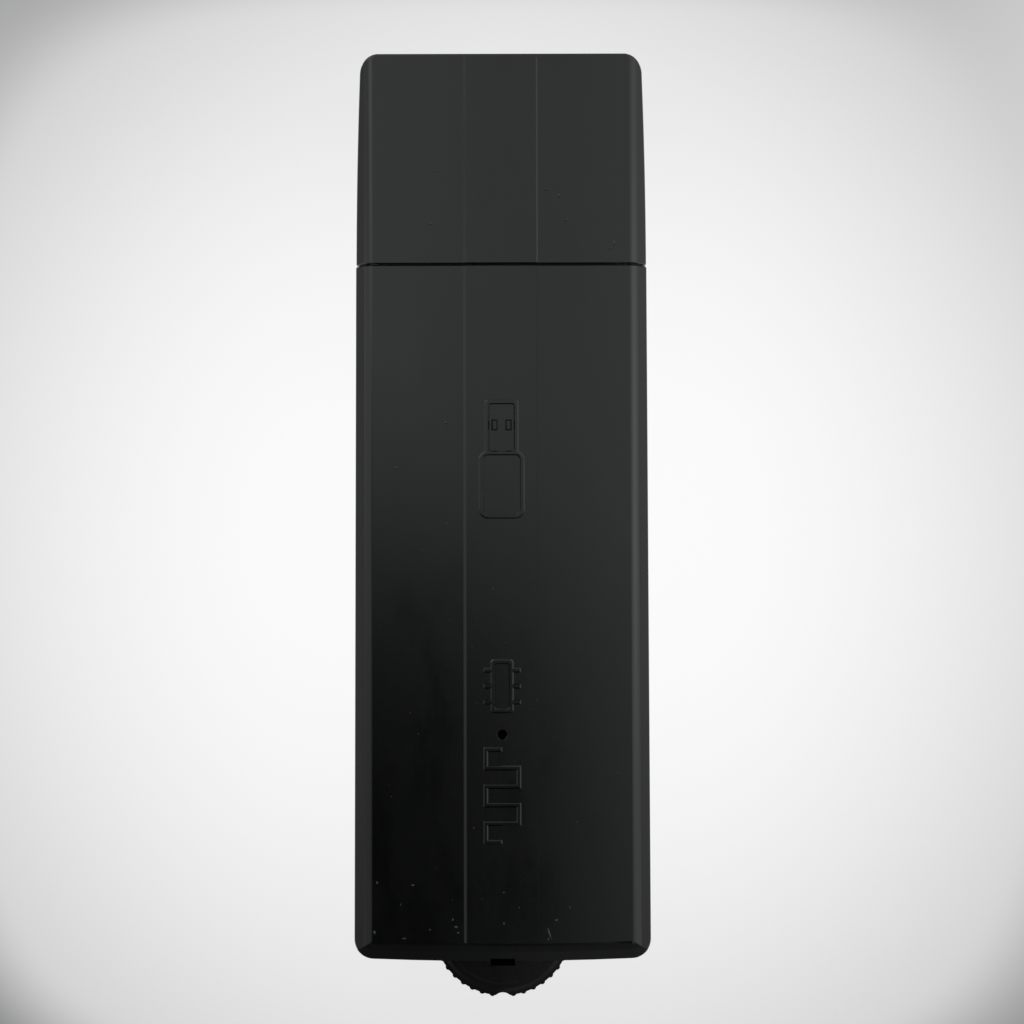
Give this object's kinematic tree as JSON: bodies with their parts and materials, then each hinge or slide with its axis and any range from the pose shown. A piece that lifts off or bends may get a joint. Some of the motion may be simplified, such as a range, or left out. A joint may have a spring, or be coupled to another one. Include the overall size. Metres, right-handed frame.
{
  "type": "usb microcontroller programmer",
  "caption": "Stick-shaped programmer with a pull-off cap over a USB plug, a thumbwheel selector at the far end, a reset pin hole and a side socket for the target cable.",
  "frame": {"origin": "under the middle of the bounding box, on the back face that the case lies on", "axes": "+Y runs lengthwise from the selector wheel to the cap, +X across the case to the right of someone who looks at the front face with the cap at the top, +Z out of the front face"},
  "size_m": [0.0242, 0.0776, 0.0112],
  "materials": {
    "case_plastic": "satin black moulded ABS, fine texture",
    "wheel_plastic": "satin black moulded nylon",
    "plug_steel": "nickel-plated stamped steel",
    "plug_insulator": "white glass-filled nylon",
    "gold_contacts": "gold-plated phosphor bronze",
    "board": "green solder mask over glass epoxy",
    "chip_plastic": "black moulded epoxy",
    "tinned_leads": "matte tin plating",
    "can_steel": "nickel-plated can",
    "ceramic": "fired ceramic",
    "resistor_film": "black glazed resistor",
    "tantalum_mould": "yellow moulded epoxy",
    "fuse_film": "green polymer fuse",
    "led_lens": "milky encapsulant",
    "pipe_clear": "clear polished acrylic",
    "screw_steel": "black zinc-plated steel",
    "axle_steel": "ground steel pin",
    "spring_steel": "stainless spring strip",
    "socket_plastic": "black glass-filled nylon",
    "switch_cover_steel": "bright stainless cover",
    "plunger_plastic": "black nylon"
  },
  "bodies": {
    "case": {"front_shell": "case_plastic", "back_shell": "case_plastic", "housing_screws": "screw_steel", "pcb": "board", "plug_shell": "plug_steel", "plug_tongue": "plug_insulator", "plug_contacts": "gold_contacts", "mcu_chip": "chip_plastic", "mcu_leads": "tinned_leads", "level_shifter_chip": "chip_plastic", "level_shifter_leads": "tinned_leads", "voltage_regulator": "chip_plastic", "regulator_leads": "tinned_leads", "crystal_base": "chip_plastic", "crystal_can": "can_steel", "ceramic_capacitors": "ceramic", "resistors": "resistor_film", "tantalum_capacitors": "tantalum_mould", "fuse": "fuse_film", "power_led": "led_lens", "activity_led": "led_lens", "power_light_pipe": "pipe_clear", "activity_light_pipe": "pipe_clear", "reset_switch_base": "chip_plastic", "reset_switch_cover": "switch_cover_steel", "reset_switch_dome": "spring_steel", "reset_switch_legs": "tinned_leads", "target_socket": "socket_plastic", "target_contacts": "gold_contacts", "wheel_axle": "axle_steel", "selector_base": "chip_plastic", "contact_fingers": "gold_contacts", "detent_spring": "spring_steel"},
    "cap": {"cap": "case_plastic"},
    "wheel": {"thumbwheel": "wheel_plastic", "contact_disc": "gold_contacts"},
    "reset_button": {"reset_plunger": "plunger_plastic"}
  },
  "joints": [
    {"name": "cap_slide", "type": "slide", "parent": "case", "child": "cap", "axis": [0, 1, 0], "range_m": [0, 0.025]},
    {"name": "wheel_turn", "type": "hinge", "parent": "case", "child": "wheel", "pos_m": [0, -0.03302, 0.0079], "axis": [0, 0, 1], "continuous": true},
    {"name": "reset_press", "type": "slide", "parent": "case", "child": "reset_button", "axis": [0, 0, -1], "range_m": [0, 0.00025], "stiffness_N_per_m": 6400}
  ]
}
